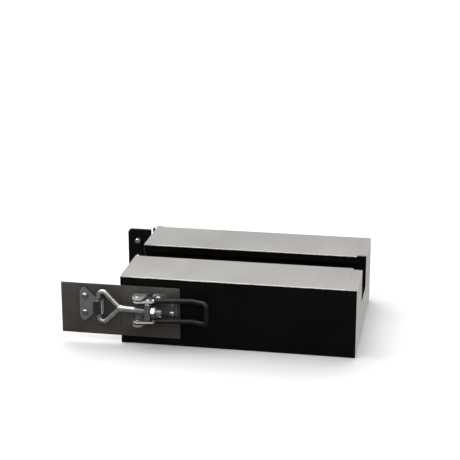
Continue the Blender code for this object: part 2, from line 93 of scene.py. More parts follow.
ARM_LENGTH = 0.0565
ARM_REACH = 0.0725
ARM_RISE = 0.0090
ARM_CORNER = 0.0050
CORE_RADIUS = 0.0017
GRIP_BORE = 0.0020
GRIP_RADIUS = 0.0027
GRIP_START = 0.0172
BLOCK_WIDTH = 0.0063
BLOCK_DEPTH = 0.0100
BLOCK_HALF = 0.0092
JOURNAL_RADIUS = 0.0022
RIVET_RADIUS = 0.0025
RIVET_HEAD = 0.0030
RIVET_DOME = 0.0009
NUT_FLATS = 0.0100
NUT_THICK = 0.0050
SCREW_RADIUS = 0.0020
SCREW_HEAD = 0.0032
SCREW_DOME = 0.0022
SCREW_DEPTH = 0.0070
BASE_SCREWS = ((0.0422, 0.0108), (0.0566, 0.0053))
CATCH_LEFT = -0.0435
CATCH_HALF = 0.0185
CATCH_SCREW_X = -0.0380
CATCH_SCREW_RISE = 0.0093
CATCH_TAPER_X = -0.0265
HOOK_HALF = 0.0071
HOOK_BACK = -0.0172
HOOK_KNEE = 0.0112
HOOK_TIP_X = -0.0262
HOOK_TIP_OUT = 0.0158
BAIL_LENGTH = 0.05588
WIRE_RADIUS = 0.0024
LOOP_HALF = 0.0165
LOOP_STRAIGHT = 0.0070
LOOP_LENGTH = 0.0235
LOOP_CORNER = 0.0045
LEGS_APART = 0.0012
LEG_CURVE = 0.0070
STEM_RADIUS = 0.0032
STEM_LENGTH = 0.0170
THREAD_RADIUS = 0.0030
THREAD_ROOT = 0.00245
THREAD_PITCH = 0.0010
THREAD_BEYOND = 0.0143
THREAD_CHAMFER = 0.00075
PIN_RADIUS = 0.0040
PIN_TIP = 0.0022
PIN_NOSE = 0.0045
LEAF_THICK = 0.0050
LEAF_NEAR = 0.0088
LEAF_CORNER = 0.0040
LEAF_SCREW_X = 0.0230
LEAF_SCREWS = (-0.0200, 0.0, 0.0200)
LEAF_SCREW_RADIUS = 0.0030
LEAF_SCREW_HEAD = 0.0058
LEAF_SCREW_DEPTH = 0.0075
KNUCKLE_RADIUS = 0.0080
KNUCKLE_SPLIT = 0.0110
HINGE_PIN_RADIUS = 0.0040
HINGE_PIN_HEAD = 0.0062
HINGE_PIN_CAP = 0.0020

# Round edges, welds, recesses and sockets, metres.
PLATE_EDGE = 0.00012
RAIL_EDGE = 0.0006
TIE_EDGE = 0.0008
BASE_EDGE = 0.00045
HOOK_EDGE = 0.00055
BLOCK_EDGE = 0.0012
NUT_EDGE = 0.00012
BEAD_STEPS = 26
BEAD_MARGIN = 0.003
BEAD_RADIUS = 0.0017
BEAD_RIPPLE = 0.00025
BEAD_END = 0.0006
BEAD_SUNK = 0.0003
RECESS_WIDE = 0.00185
RECESS_NARROW = 0.0009
RECESS_HALF = 0.00048
RECESS_DEPTH = 0.0015
SOCKET_CORNER = 0.0023
SOCKET_DEPTH = 0.0024
SOCKET_POINT = 0.0034
FLARE = 0.0005
VOXEL = 0.00036

# The stage, metres, and the camera, which stands where the photo was taken from.
FLOOR_HALF = 25
FLOOR_THICK = 0.01
FLOOR_DROP = 0.0005
LENS_MM = 107.73
CAMERA_AT = (0.35623, -1.41321, 0.54268)
CAMERA_TILT = math.radians(72.333)
CAMERA_TURN = math.radians(10.199)
# Along Y, where the surroundings start and stop changing, and their strength there.
WORLD_RAMPS = ((0.0, 0.9, 0.03, 0.60), (-0.5, -0.95, 0.0, 0.10))

# Steps of an arc, sides of a round bar, and the distance under which points are one.
ARC = 8
ROUND = 40
MERGE = 0.000004
UPRIGHT = Matrix.Rotation(math.pi / 2, 4, "X")
CROSSWISE = Matrix.Rotation(math.pi / 2, 4, "Z") @ Matrix.Rotation(math.pi / 2, 4, "X")
ALONG = Matrix.Rotation(math.pi / 2, 4, "Y")
TURNED_OVER = Matrix.Rotation(math.pi, 4, "X")
OUTWARD = Matrix.Rotation(-math.pi / 2, 4, "X")


# ---- mesh tools ----

def new_object(mesh):
    """A scene object for a mesh."""
    made = bpy.data.objects.new(mesh.name, mesh)
    bpy.context.scene.collection.objects.link(made)
    return made


def bake(made):
    """Applies an object's modifiers to its mesh."""
    bpy.context.view_layer.update()
    graph = bpy.context.evaluated_depsgraph_get()
    mesh = bpy.data.meshes.new_from_object(made.evaluated_get(graph))
    made.modifiers.clear()
    old = made.data
    made.data = mesh
    bpy.data.meshes.remove(old)
    return made


def placed(made, at=(0, 0, 0), turn=None):
    """Turns and then moves an object's mesh."""
    made.data.transform(Matrix.Translation(at) @ (turn or Matrix.Identity(4)))
    return made


def combine(made, other, operation):
    """An exact Boolean with another object, which is used up."""
    step = made.modifiers.new("combine", "BOOLEAN")
    step.operation = operation
    step.solver = "EXACT"
    step.object = other
    bake(made)
    bpy.data.objects.remove(other, do_unlink=True)
    return made


def soften(made, width, segments=2, angle=40):
    """Rounds the sharp edges."""
    step = made.modifiers.new("edges", "BEVEL")
    step.width = width
    step.segments = segments
    step.limit_method = "ANGLE"
    step.angle_limit = math.radians(angle)
    return bake(made)


def welded(mesh):
    """Joins coincident points and turns the faces outwards."""
    work = bmesh.new()
    work.from_mesh(mesh)
    bmesh.ops.remove_doubles(work, verts=work.verts, dist=MERGE)
    bmesh.ops.recalc_face_normals(work, faces=work.faces)
    work.to_mesh(mesh)
    work.free()
    return mesh


def outline(loops, depth, edge=0.0):
    """A flat outline, further loops being holes, with half of its depth each way and round edges."""
    curve = bpy.data.curves.new("outline", "CURVE")
    curve.dimensions = "2D"
    curve.fill_mode = "BOTH"
    curve.extrude = depth / 2 - edge
    curve.bevel_depth = edge
    curve.bevel_resolution = 1
    curve.offset = -edge
    for loop in loops:
        spline = curve.splines.new("POLY")
        spline.points.add(len(loop) - 1)
        for knot, point in zip(spline.points, loop):
            knot.co = (point[0], point[1], 0, 1)
        spline.use_cyclic_u = True
    drawn = bpy.data.objects.new("drawn", curve)
    bpy.context.scene.collection.objects.link(drawn)
    graph = bpy.context.evaluated_depsgraph_get()
    mesh = bpy.data.meshes.new_from_object(drawn.evaluated_get(graph))
    bpy.data.objects.remove(drawn, do_unlink=True)
    return new_object(welded(mesh))


def skin(rings, loop=False):
    """A closed surface through rings of points, with caps on its ends or, if loop, none."""
    mesh = bpy.data.meshes.new("skin")
    sides = len(rings[0])
    points = [point for ring in rings for point in ring]
    faces = []
    count = len(rings)
    for n in range(count if loop else count - 1):
        a, b = n * sides, (n + 1) % count * sides
        for k in range(sides):
            m = (k + 1) % sides
            faces.append((a + k, a + m, b + m, b + k))
    if not loop:
        faces.append(tuple(range(sides)))
        faces.append(tuple(range((count - 1) * sides, count * sides)))
    mesh.from_pydata(points, [], faces)
    return new_object(welded(mesh))


def turned(profile, sides=ROUND):
    """A profile of (radius, height) turned about Z, from the top down, closed at both ends."""
    rings = []
    for radius, height in profile:
        radius = max(radius, MERGE / 2)
        turns = [2 * math.pi * k / sides for k in range(sides)]
        rings.append([(radius * math.cos(a), radius * math.sin(a), height) for a in turns])
    return skin(rings)


def frames(path):
    """For each point of a path, two directions across it that don't twist along it."""
    ahead = []
    for n in range(len(path)):
        step = path[min(n + 1, len(path) - 1)] - path[max(n - 1, 0)]
        ahead.append(step.normalized())
    across = ahead[0].orthogonal().normalized()
    out = []
    for n, way in enumerate(ahead):
        if n:
            across = (ahead[n - 1].rotation_difference(way) @ across).normalized()
        out.append((across, way.cross(across).normalized()))
    return out


def tube(path, radii, sides=28, loop=False, stations=None):
    """A round skin along a path with one radius a point. Stations pick the path's points in turn."""
    across = frames(path)
    rings = []
    for n, radius in zip(stations or range(len(path)), radii):
        a, b = across[n]
        turns = [2 * math.pi * k / sides for k in range(sides)]
        rings.append([path[n] + (a * math.cos(t) + b * math.sin(t)) * radius for t in turns])
    return skin(rings, loop=loop)


def rounded(points, radii, closed, arc=ARC):
    """The path with its corners replaced by arcs."""
    path = [Vector(point).to_3d() for point in points]
    out = []
    for n, corner in enumerate(path):
        radius = radii[n]
        if radius == 0 or (not closed and n in (0, len(path) - 1)):
            out.append(corner)
            continue
        back = (path[n - 1] - corner).normalized()
        ahead = (path[(n + 1) % len(path)] - corner).normalized()
        half = back.angle(ahead) / 2
        centre = corner + (back + ahead).normalized() * radius / math.sin(half)
        reach = radius / math.tan(half)
        first = (corner + back * reach - centre).normalized()
        last = (corner + ahead * reach - centre).normalized()
        out.extend(centre + first.slerp(last, k / arc) * radius for k in range(arc + 1))
    return out


def circle(x, y, radius):
    """A closed ring of points."""
    turns = [2 * math.pi * k / ROUND for k in range(ROUND)]
    return [(x + radius * math.cos(a), y + radius * math.sin(a)) for a in turns]


def cylinder(radius, low, high, sides=ROUND):
    """A round bar along Z."""
    return turned([(0, high), (radius, high), (radius, low), (0, low)], sides)


def block(low, high):
    """A box between two corners."""
    work = bmesh.new()
    bmesh.ops.create_cube(work, size=1)
    low, high = Vector(low), Vector(high)
    bmesh.ops.scale(work, vec=high - low, verts=work.verts)
    bmesh.ops.translate(work, vec=(low + high) / 2, verts=work.verts)
    mesh = bpy.data.meshes.new("block")
    work.to_mesh(mesh)
    work.free()
    return new_object(mesh)


def dome(radius, rise, base, steps=7, rim=0.2):
    """Points (radius, height) down a round head: a crown, then a short upright rim."""
    lift = rise * rim
    quarter = [math.pi / 2 * k / steps for k in range(steps + 1)]
    return [(radius * math.sin(a), base + lift + (rise - lift) * math.cos(a)) for a in quarter]


def mirrored(half):
    """Half an outline or path and then its mirror image, back to front."""
    return half + [(*point[:-1], -point[-1]) for point in reversed(half)]


def drilled(made, places):
    """Bores a latch plate for its screws."""
    for x, z in places:
        bore = cylinder(SCREW_RADIUS + GAP, -4 * SHEET, 4 * SHEET)
        combine(made, placed(bore, (x, 0, z), UPRIGHT), "DIFFERENCE")


def show(made, name, body, finish, hub=None, angle=32):
    """Names a finished piece, puts it in its place, smooths it and fixes it to its body."""
    if hub is not None:
        made.data.transform(hub)
    made.name = name + "_detail"
    made.data.name = made.name
    made.data.materials.clear()
    made.data.materials.append(finish)
    made.data.shade_smooth()
    made.data.set_sharp_from_angle(angle=math.radians(angle))
    step = made.modifiers.new("weights", "WEIGHTED_NORMAL")
    step.keep_sharp = True
    bake(made)
    made.data.name = made.name
    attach(made, body)
    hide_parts(name)
    return made


# ---- materials ----

class Finish:
    """Builds one node material round its Principled shader."""

    def __init__(self, name, **sockets):
        self.made = bpy.data.materials.new(name)
        self.made.use_nodes = True
        self.tree = self.made.node_tree
        self.shader = self.tree.nodes["Principled BSDF"]
        self.place = self.node("ShaderNodeTexCoord").outputs["Object"]
        self.set(**sockets)

    def node(self, kind, **settings):
        """Adds a node."""
        made = self.tree.nodes.new(kind)
        for key, value in settings.items():
            setattr(made, key, value)
        return made

    def join(self, source, target):
        """Links a socket to an input, or gives the input a plain value."""
        if isinstance(source, bpy.types.NodeSocket):
            self.tree.links.new(source, target)
        else:
            target.default_value = source

    def fill(self, made, **sockets):
        """Joins sockets or plain values to a node's named inputs."""
        for key, value in sockets.items():
            self.join(value, made.inputs[key.replace("_", " ")])

    def noise(self, scale, detail=3.0, rough=0.5, stretch=None):
        """Noise of a scale per metre, drawn out along the axes whose stretch is small."""
        made = self.node("ShaderNodeTexNoise")
        self.fill(made, Scale=scale, Detail=detail, Roughness=rough, Vector=self.stretched(stretch))
        return made.outputs["Fac"]

    def cells(self, scale):
        """The distance to the middles of scattered cells."""
        made = self.node("ShaderNodeTexVoronoi")
        self.fill(made, Scale=scale, Vector=self.place)
        return made.outputs["Distance"]

    def stretched(self, stretch):
        """The object's coordinates times a stretch."""
        if stretch is None:
            return self.place
        made = self.node("ShaderNodeMapping")
        self.fill(made, Scale=stretch, Vector=self.place)
        return made.outputs["Vector"]

    def range(self, value, low, high, new_low=0.0, new_high=1.0):
        """A value carried from one range to another and held inside it."""
        made = self.node("ShaderNodeMapRange", clamp=True)
        for key, number in zip(("From Min", "From Max", "To Min", "To Max"),
                               (low, high, new_low, new_high)):
            self.join(number, made.inputs[key])
        self.join(value, made.inputs["Value"])
        return made.outputs["Result"]

    def math(self, operation, a, b=0.0):
        """An operation on two numbers."""
        made = self.node("ShaderNodeMath", operation=operation)
        self.join(a, made.inputs[0])
        self.join(b, made.inputs[1])
        return made.outputs[0]

    def times(self, a, b):
        """A product."""
        return self.math("MULTIPLY", a, b)

    def mix(self, amount, a, b):
        """A colour between two colours."""
        made = self.node("ShaderNodeMix", data_type="RGBA")
        self.join(amount, made.inputs[0])
        self.join((*a, 1) if isinstance(a, tuple) else a, made.inputs[6])
        self.join((*b, 1) if isinstance(b, tuple) else b, made.inputs[7])
        return made.outputs[2]

    def blend(self, amount, a, b):
        """A number between two numbers."""
        made = self.node("ShaderNodeMix", data_type="FLOAT")
        self.join(amount, made.inputs[0])
        self.join(a, made.inputs[2])
        self.join(b, made.inputs[3])
        return made.outputs[0]

    def axis(self, name):
        """One of the object's coordinates."""
        made = self.node("ShaderNodeSeparateXYZ")
        self.join(self.place, made.inputs[0])
        return made.outputs[name]

    def within(self, ranges):
        """1 where every range (an axis, where it is 0, where it is 1) is met."""
        made = 1.0
        for name, none, full in ranges:
            made = self.times(self.range(self.axis(name), none, full), made)
        return made

    def edge_wear(self, radius, low, high):
        """Nearly 1 on the sharp edges and 0 on the flats, broken up by noise."""
        bevel = self.node("ShaderNodeBevel", samples=4)
        bevel.inputs["Radius"].default_value = radius
        plain = self.node("ShaderNodeNewGeometry")
        dot = self.node("ShaderNodeVectorMath", operation="DOT_PRODUCT")
        self.join(bevel.outputs[0], dot.inputs[0])
        self.join(plain.outputs["Normal"], dot.inputs[1])
        edge = self.range(dot.outputs["Value"], 0.995, 0.90)
        broken = self.range(self.noise(420, 5, 0.65), low, high)
        return self.times(edge, broken)

    def set(self, **sockets):
        """Fills the shader's own sockets."""
        self.fill(self.shader, **sockets)

    def bumps(self, *layers):
        """Bump layers of (height, distance in metres), each on top of the last."""
        normal = None
        for height, distance in layers:
            made = self.node("ShaderNodeBump")
            self.fill(made, Distance=distance, Height=height)
            if normal is not None:
                self.join(normal, made.inputs["Normal"])
            normal = made.outputs["Normal"]
        self.join(normal, self.shader.inputs["Normal"])


def bed_finish(name, ends):
    """Satin black paint, with the tops of the ways, and the end faces if ends, ground bare. The
    ground end faces are painted paler than the ground tops as painted light, and a pale band along
    the top arris is a painted highlight.
    """
    low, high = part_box("joint_end_plate")[0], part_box("outer_end_plate")[1]
    f = Finish(name)
    jitter = f.range(f.noise(260, 4, 0.6), 0.3, 0.7, -0.00025, 0.00025)
    up = f.math("ADD", f.axis("Z"), jitter)
    bare = f.range(up, high.z - 0.00110, high.z - 0.00090)
    # Painted highlight: a band just under the ground top, along the arris.
    bevel = f.times(bare, f.range(f.axis("Z"), high.z - 0.00006, high.z - 0.00014))
    if ends:
        along = f.math("ADD", f.axis("X"), f.times(jitter, 0.2))
        outer = f.range(along, high.x - 0.00022, high.x - 0.00010)
        inner = f.range(along, low.x + 0.00022, low.x + 0.00010)
        bare = f.math("MAXIMUM", bare, f.math("MAXIMUM", outer, inner))
    chips = f.edge_wear(0.0006, 0.60, 0.72)
    bare = f.math("MAXIMUM", bare, f.times(chips, 0.55))
    lines = f.noise(1.0, 6, 0.7, (9, 2600, 2600))
    cross = f.noise(1.0, 4, 0.6, (1500, 40, 1500))
    cloud = f.noise(16, 4, 0.55)
    stain = f.range(f.noise(34, 5, 0.6), 0.52, 0.75)
    steel = f.mix(f.range(cloud, 0.3, 0.7), (0.250, 0.238, 0.224), (0.315, 0.304, 0.290))
    steel = f.mix(f.times(stain, 0.45), steel, (0.25, 0.225, 0.20))
    steel = f.mix(f.range(lines, 0.35, 0.65, 0.0, 0.25), steel, (0.42, 0.41, 0.395))
    # Painted light: the ground end faces are painted paler than the ground tops of the same steel,
    # for the brighter light they catch.
    if ends:
        face = f.math("MAXIMUM", outer, inner)
        steel = f.mix(face, steel, f.mix(cloud, (0.60, 0.575, 0.545), (0.74, 0.715, 0.685)))
    # Painted highlight: the arris band is painted pale.
    steel = f.mix(f.times(bevel, 0.85), steel, (0.86, 0.85, 0.83))
    dust = f.range(f.noise(700, 5, 0.7), 0.55, 0.80)
    paint = f.mix(f.range(cloud, 0.3, 0.7), (0.0020, 0.0020, 0.0016), (0.0040, 0.0039, 0.0033))
    paint = f.mix(f.times(dust, 0.06), paint, (0.030, 0.029, 0.026))
    smear = f.range(f.noise(60, 4, 0.6, (0.4, 1, 1)), 0.3, 0.7, 0.44, 0.58)
    shine = f.range(lines, 0.3, 0.7, 0.27, 0.42)
    shine = f.math("ADD", shine, f.times(stain, 0.10))
    f.set(Base_Color=f.mix(bare, paint, steel),
          Metallic=f.times(bare, f.range(bevel, 0.0, 1.0, 0.95, 0.25)),
          Roughness=f.blend(bare, smear, shine),
          Specular_IOR_Level=0.09)
    peel = f.noise(1100, 2, 0.5)
    ground = f.math("ADD", f.times(lines, 0.5), f.times(cross, 0.15))
    height = f.blend(bare, f.times(peel, 0.8), ground)
    if ends:
        height = f.times(height, f.range(face, 0.0, 1.0, 1.0, 0.15))
    f.bumps((height, 0.000012), (bare, -0.00002))
    return f.made


def zinc_finish(name, tint=(0.70, 0.705, 0.70), rough=(0.16, 0.30), grain=None, shade_zone=None,
                highlight_zone=None, metal=0.95):
    """Bright zinc plate: cloudy, with drawing lines, pale edges that are rubbed wear made paler as a
    painted highlight, and painted shade in its corners and hollows.

    The two zone arguments, the first for painted shade and the second for painted highlight, are
    ranges along axes. Where all of the first's are met the sheet is darkened as painted shade, and
    where all of the second's are met its edges and other upright faces are painted pale as a
    highlight.
    """
    f = Finish(name)
    cloud = f.noise(170, 5, 0.6)
    fine = f.noise(1.0, 5, 0.65, grain or (400, 400, 400))
    dull = tuple(c * s for c, s in zip(tint, (0.72, 0.74, 0.76)))
    warm = tuple(c * s for c, s in zip(tint, (1.02, 0.99, 0.92)))
    colour = f.mix(f.range(cloud, 0.35, 0.68), tint, dull)
    colour = f.mix(f.range(f.noise(70, 3), 0.52, 0.72, 0.0, 0.5), colour, warm)
    # Pale edges: rubbed wear on the sharp edges, made paler and less metallic than the zinc so the
    # edges show as bright lines, partly a painted highlight.
    pale_edges = f.edge_wear(0.0004, 0.30, 0.60)
    # Painted highlight: inside the highlight zone the upright faces, mostly edges, are painted pale
    # as bright edge lines.
    if highlight_zone:
        sideways = f.node("ShaderNodeSeparateXYZ")
        f.join(f.node("ShaderNodeNewGeometry").outputs["Normal"], sideways.inputs[0])
        edge_highlight = f.range(f.math("ABSOLUTE", sideways.outputs["Z"], 0.0), 0.85, 0.60)
        edge_highlight = f.times(edge_highlight, f.within(highlight_zone))
        pale_edges = f.math("MAXIMUM", pale_edges, f.times(edge_highlight, f.range(cloud, 0.3, 0.6, 0.7, 1.0)))
    pits = f.range(f.cells(900), 0.0, 0.16, 1.0, 0.0)
    colour = f.mix(f.times(pits, 0.25), colour, (0.30, 0.30, 0.29))
    # Painted shade: ambient occlusion darkens the corners, hollows and gaps between parts.
    shade = f.node("ShaderNodeAmbientOcclusion", samples=6)
    shade.inputs["Distance"].default_value = 0.008
    painted_shade = f.times(f.range(shade.outputs["AO"], 0.75, 0.25), f.range(cloud, 0.3, 0.6, 0.7, 1.0))
    # Painted shade: inside the shade zone the sheet is darkened as well.
    if shade_zone:
        painted_shade = f.math("MAXIMUM", painted_shade, f.times(f.within(shade_zone), 0.85))
    # Painted shade: a near-black grey mixed in where the painted shade mask is high.
    colour = f.mix(f.times(painted_shade, 0.85), colour, (0.055, 0.057, 0.058))
    colour = f.mix(f.times(pale_edges, 0.8), colour, (0.86, 0.86, 0.85))
    gloss = f.range(f.math("ADD", f.times(cloud, 0.6), f.times(fine, 0.4)),
                    0.35, 0.65, rough[0], rough[1])
    f.set(Base_Color=colour, Roughness=gloss, Metallic=f.range(pale_edges, 0.0, 1.0, metal, 0.45))
    f.bumps((fine, 0.000006), (f.noise(900, 3, 0.6), 0.000008))
    return f.made


def pad_finish(name):
    """Dark grey plate with a soft, cloudy sheen and a fine rolled grain, with paler streaks as a
    painted highlight, a paler band along its top as a painted reflection, and painted shade
    darkening it towards the bottom.
    """
    f = Finish(name, Metallic=0.35, Specular_IOR_Level=0.35)
    low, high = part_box("latch_pad")
    cloud = f.noise(38, 5, 0.6)
    grain = f.noise(1.0, 4, 0.6, (60, 1800, 1800))
    colour = f.mix(f.range(cloud, 0.3, 0.7), (0.063, 0.054, 0.048), (0.101, 0.087, 0.079))
    # Painted highlight: paler streaks across the plate.
    paler_patches = f.range(f.noise(1.0, 4, 0.6, (22, 60, 90)), 0.58, 0.74)
    colour = f.mix(f.times(paler_patches, 0.45), colour, (0.10, 0.096, 0.095))
    # Painted shade: the plate is darkened towards the bottom.
    colour = f.mix(f.range(f.axis("Z"), high.z, low.z, 0.0, 0.45), colour, (0.042, 0.036, 0.032))
    # Painted reflection: a paler band along the top of the plate.
    top_reflection = f.times(f.range(f.axis("Z"), high.z - 0.016, high.z), f.range(cloud, 0.36, 0.62))
    top_reflection = f.times(top_reflection, f.range(f.axis("X"), low.x - 0.010, high.x, 0.1, 1.0))
    colour = f.mix(f.times(top_reflection, 0.75), colour, (0.19, 0.18, 0.172))
    pale_edges = f.edge_wear(0.0003, 0.4, 0.7)
    colour = f.mix(f.times(pale_edges, 0.6), colour, (0.20, 0.19, 0.18))
    f.set(Base_Color=colour, Roughness=f.range(cloud, 0.3, 0.7, 0.42, 0.58))
    f.bumps((grain, 0.000010), (f.noise(1200, 3, 0.6), 0.000006))
    return f.made


def grip_finish(name):
    """Black dip-coated sleeve: soft sheen, slight waviness, paler where the hand pulls and rubs on
    it.
    """
    f = Finish(name, Specular_IOR_Level=0.42)
    wave = f.noise(210, 3, 0.5)
    paler_patches = f.range(f.noise(90, 4, 0.6), 0.48, 0.70)
    colour = f.mix(f.times(paler_patches, 0.6), (0.006, 0.006, 0.0057), (0.016, 0.0155, 0.015))
    f.set(Base_Color=colour, Roughness=f.range(wave, 0.3, 0.7, 0.34, 0.50))
    f.bumps((wave, 0.00006), (f.noise(2200, 3, 0.6), 0.000012))
    return f.made


BED = bed_finish("bed_black_paint", False)
END = bed_finish("end_plate_ground", True)
PLATE_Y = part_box("front_rail")[0].y - BASE_OUT - SHEET
LOBE_Z = JOINTS["lever_swing"]["pos_m"][2] + TONGUE_HALF
# Painted highlight on the lever's upright faces along its whole length.
LEVER = zinc_finish("lever_zinc", rough=(0.26, 0.42), grain=(90, 1500, 1500),
                    highlight_zone=[("Y", 0.0, -0.01)])
BLOCK = zinc_finish("block_zinc", (0.58, 0.585, 0.58), (0.24, 0.36), (90, 1500, 1500))
# Painted shade on the flat plate below the tops of its lobes, and a painted highlight on the upright
# edges of the upper ear more than 6 mm out.
BASE = zinc_finish("base_zinc", (0.86, 0.865, 0.86), (0.26, 0.42), (90, 1500, 1500),
                   shade_zone=[("Y", PLATE_Y - GAP, PLATE_Y), ("Z", LOBE_Z + SHEET / 2, LOBE_Z)],
                   highlight_zone=[("Y", PLATE_Y - 2 * SHEET, PLATE_Y - 3 * SHEET), ("Z", 0.0, LOBE_Z)])
# Painted shade on the blade and lip standing out from the plate, and a painted highlight line on the
# right-hand face of the blade at its bend.
HOOK = zinc_finish("catch_zinc", rough=(0.26, 0.42), grain=(90, 1500, 1500),
                   shade_zone=[("Y", PLATE_Y - 2 * GAP, PLATE_Y - 4 * GAP)],
                   highlight_zone=[("X", HOOK_BACK - 0.0012, HOOK_BACK - 0.0004)])
STUB = zinc_finish("rivet_zinc", (0.46, 0.465, 0.46), (0.26, 0.38))
HEADS = zinc_finish("fastener_zinc", (0.74, 0.745, 0.74), (0.14, 0.26))
WIRE = zinc_finish("wire_zinc", (0.66, 0.66, 0.645), (0.17, 0.28), metal=0.80)
PIN = zinc_finish("pin_steel", (0.62, 0.62, 0.61), (0.14, 0.24), (1500, 60, 60))
LEAF = bed_finish("leaf_black_paint", False)
PAD = pad_finish("pad_dark")
GRIP = grip_finish("grip_black")


# ---- the bed ----

def notch_floor():
    """The height of the notch's floor: the locating pin is halfway up the band under it."""
    a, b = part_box("locating_pin")
    middle = (a.z + b.z) / 2
    return 2 * middle - CAD_LOW.z


def end_plate(name):
    """A ground steel plate with the notch that the slot runs out through.

    At the joint the slot keeps its width to the end of the bed, on a lip under each way.
    """
    low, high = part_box(name)
    notch = NOTCH_WIDTH / 2
    floor = notch_floor()
    side = [(notch, high.z), (notch, floor)]
    if name == "joint_end_plate":
        lip = high.z - FLANGE
        side = [(SLOT_WIDTH / 2, high.z), (SLOT_WIDTH / 2, lip), (notch, lip), (notch, floor)]
    points = [(low.y, low.z), (high.y, low.z), (high.y, high.z), *side,
              *[(-y, z) for y, z in reversed(side)], (low.y, high.z)]
    square = [0] * (len(side) - 1)
    loops = [rounded(points, [0, 0, 0, *square, NOTCH_CORNER, NOTCH_CORNER, *square, 0], True)]
    if low.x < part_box("front_rail")[0].x:
        a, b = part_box("locating_pin")
        loops.append(circle((a.y + b.y) / 2, (a.z + b.z) / 2, PIN_RADIUS + SEAM * 2))
    made = outline(loops, high.x - low.x, PLATE_EDGE)
    placed(made, ((low.x + high.x) / 2, 0, 0), CROSSWISE)
    return show(made, name, "bed", END)


def rail(name, side, holes):
    """One way of the bed: a flange on two webs, the outer one with holes (x, z, radius)."""
    low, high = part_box(name)
    outer = low.y if side < 0 else high.y
    flange = high.z - FLANGE
    ceiling = flange - LIP_STEP
    web = abs(outer) - OUTER_WEB
    inner = NOTCH_WIDTH / 2
    points = [(abs(outer), low.z), (abs(outer), high.z), (SLOT_WIDTH / 2, high.z),
              (SLOT_WIDTH / 2, flange), (inner, flange), (inner, low.z),
              (inner + INNER_WEB, low.z), (inner + INNER_WEB, ceiling), (web, ceiling), (web, low.z)]
    radii = [RAIL_EDGE * k for k in (1, 1, 1, 1, 2, 1, 1, 4, 4, 1)]
    loop = rounded([(side * y, z) for y, z in points], radii, True, 4)
    made = outline([loop], high.x - low.x + 2 * (GAP - SEAM))
    placed(made, ((low.x + high.x) / 2, 0, 0), CROSSWISE)
    for x, z, radius in holes:
        drill = cylinder(radius, -2 * OUTER_WEB, 2 * OUTER_WEB, 24)
        combine(made, placed(drill, (x, outer, z), UPRIGHT), "DIFFERENCE")
    return show(made, name, "bed", BED)


def tie(name):
    """A cross plate between the inner webs, with a bead of weld down each corner."""
    low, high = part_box(name)
    made = soften(block(low, high), TIE_EDGE, 3)
    for y, way in ((low.y, 1), (high.y, -1)):
        for x in (low.x, high.x):
            path, radii = [], []
            for k in range(BEAD_STEPS + 1):
                up = low.z + BEAD_MARGIN + (high.z - low.z - 2 * BEAD_MARGIN) * k / BEAD_STEPS
                path.append(Vector((x, y + way * BEAD_SUNK, up)))
                ripple = BEAD_RIPPLE * math.sin(k * 2.4)
                radii.append(BEAD_RADIUS + ripple if 0 < k < BEAD_STEPS else BEAD_END)
            combine(made, tube(path, radii, 14), "UNION")
    return show(made, name, "bed", BED)


def locating_pin(name):
    """A ground pin with a tapered, rounded nose."""
    low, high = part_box(name)
    slope = (PIN_RADIUS - PIN_TIP) / PIN_NOSE
    profile = [(0, high.x), (PIN_RADIUS - 0.0004, high.x), (PIN_RADIUS, high.x - 0.0004),
               (PIN_RADIUS, low.x + PIN_NOSE + 0.0006), (PIN_RADIUS - 0.0001, low.x + PIN_NOSE),
               (PIN_TIP + 0.0005 * slope, low.x + 0.0005), (PIN_TIP - 0.0002, low.x + 0.0001),
               (PIN_TIP - 0.0006, low.x), (0, low.x)]
    made = turned(profile, 48)
    placed(made, (0, (low.y + high.y) / 2, (low.z + high.z) / 2), ALONG)
    return show(made, name, "bed", PIN)


def build_bed():
    """The welded bed and its locating pin."""
    end_plate("joint_end_plate")
    end_plate("outer_end_plate")
    latch_z = JOINTS["lever_swing"]["pos_m"][2]
    hinge_z = JOINTS["leaf_swing"]["pos_m"][2]
    latch_holes = [(x, latch_z + way * z, SCREW_RADIUS + GAP) for x, z in BASE_SCREWS
                   for way in (1, -1)]
    hinge_holes = [(LEAF_SCREW_X, hinge_z + z, LEAF_SCREW_RADIUS + GAP) for z in LEAF_SCREWS]
    rail("front_rail", -1, latch_holes)
    rail("rear_rail", 1, hinge_holes)
    tie("cross_tie_inner")
    tie("cross_tie_outer")
    locating_pin("locating_pin")


# ---- the latch, in a frame of its own: X along the bed, -Y out, Z up from the latch's axis ----

class Latch:
    """Where the latch is: its hub, hinge, trunnion pin and rod direction."""

    def __init__(self):
        swing = JOINTS["lever_swing"]
        pivot = JOINTS["bail_pivot"]
        slide = JOINTS["bail_adjust"]
        self.hub = Matrix.Translation((0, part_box("front_rail")[0].y, swing["pos_m"][2]))
        back = self.hub.inverted()
        self.hinge = back @ Vector(swing["pos_m"])
        self.pin = back @ Vector(pivot["pos_m"])
        reach = self.pin - self.hinge
        self.lean = math.atan2(reach.y, reach.x)
        ahead = Vector(slide["axis"])
        self.rod = math.atan2(ahead.y, ahead.x)
        self.lever = self.hub @ Matrix.Translation(self.hinge) @ Matrix.Rotation(self.lean, 4, "Z")
        self.bail = self.hub @ Matrix.Translation(self.pin) @ Matrix.Rotation(self.rod, 4, "Z")

    def screws(self):
        """The places of the base's screws."""
        return [(x, turn * z) for x, z in BASE_SCREWS for turn in (1, -1)]

    def holds(self):
        """The places of the catch's screws."""
        return [(CATCH_SCREW_X, CATCH_SCREW_RISE), (CATCH_SCREW_X, -CATCH_SCREW_RISE)]


